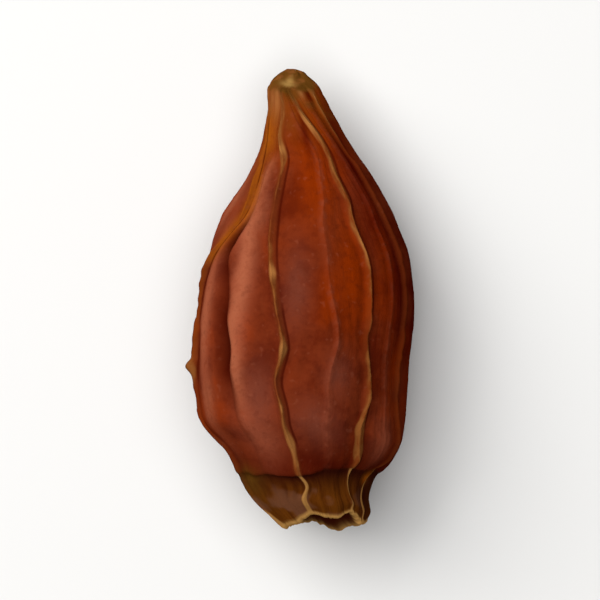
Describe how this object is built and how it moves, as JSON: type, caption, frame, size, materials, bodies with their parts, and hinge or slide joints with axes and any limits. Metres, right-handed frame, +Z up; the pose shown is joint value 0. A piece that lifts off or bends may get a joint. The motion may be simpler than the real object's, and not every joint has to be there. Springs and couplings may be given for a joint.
{
  "type": "dried gardenia fruit",
  "caption": "Dried gardenia fruit lying on its side: a long ovoid pod with raised wavy ribs, a blunt stalk end and a torn tubular crown.",
  "frame": {"origin": "on the table under the middle of the fruit's bounding box", "axes": "+Y along the fruit towards its stalk end, -Y towards the crown, +Z up from the table, the side seen in the picture facing up"},
  "size_m": [0.0142, 0.0288, 0.0122],
  "materials": {
    "dried_skin": "satin dried husk, red brown, with tan ribs and an olive brown crown"
  },
  "bodies": {
    "root": {"gardenia_fruit": "dried_skin"}
  },
  "joints": []
}
